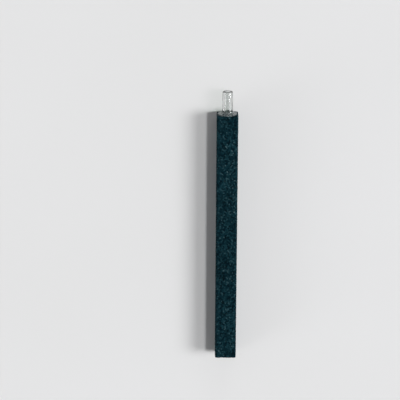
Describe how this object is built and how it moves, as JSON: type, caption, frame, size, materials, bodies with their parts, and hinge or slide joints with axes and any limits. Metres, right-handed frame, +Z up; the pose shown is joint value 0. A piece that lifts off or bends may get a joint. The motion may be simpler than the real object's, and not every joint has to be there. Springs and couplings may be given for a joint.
{
  "type": "air stone",
  "caption": "Square bar of bonded porous grains with a blind air channel down its middle and a clear plastic airline nipple glued into one end.",
  "frame": {"origin": "centre of the bar's flat underside, with the bar lying down", "axes": "+X along the bar towards the airline nipple, +Z up from the resting face, +Y across the bar"},
  "size_m": [0.1634, 0.0126, 0.0127],
  "materials": {
    "bonded_grains": "rough, dark teal grains with a thin resin gloss and open pores",
    "clear_plastic": "clear and smooth, slightly grey",
    "clear_resin": "cured casting resin, glossy and slightly cloudy"
  },
  "bodies": {
    "root": {"porous_body": "bonded_grains", "airline_nipple": "clear_plastic", "resin_seal": "clear_resin"}
  },
  "joints": []
}
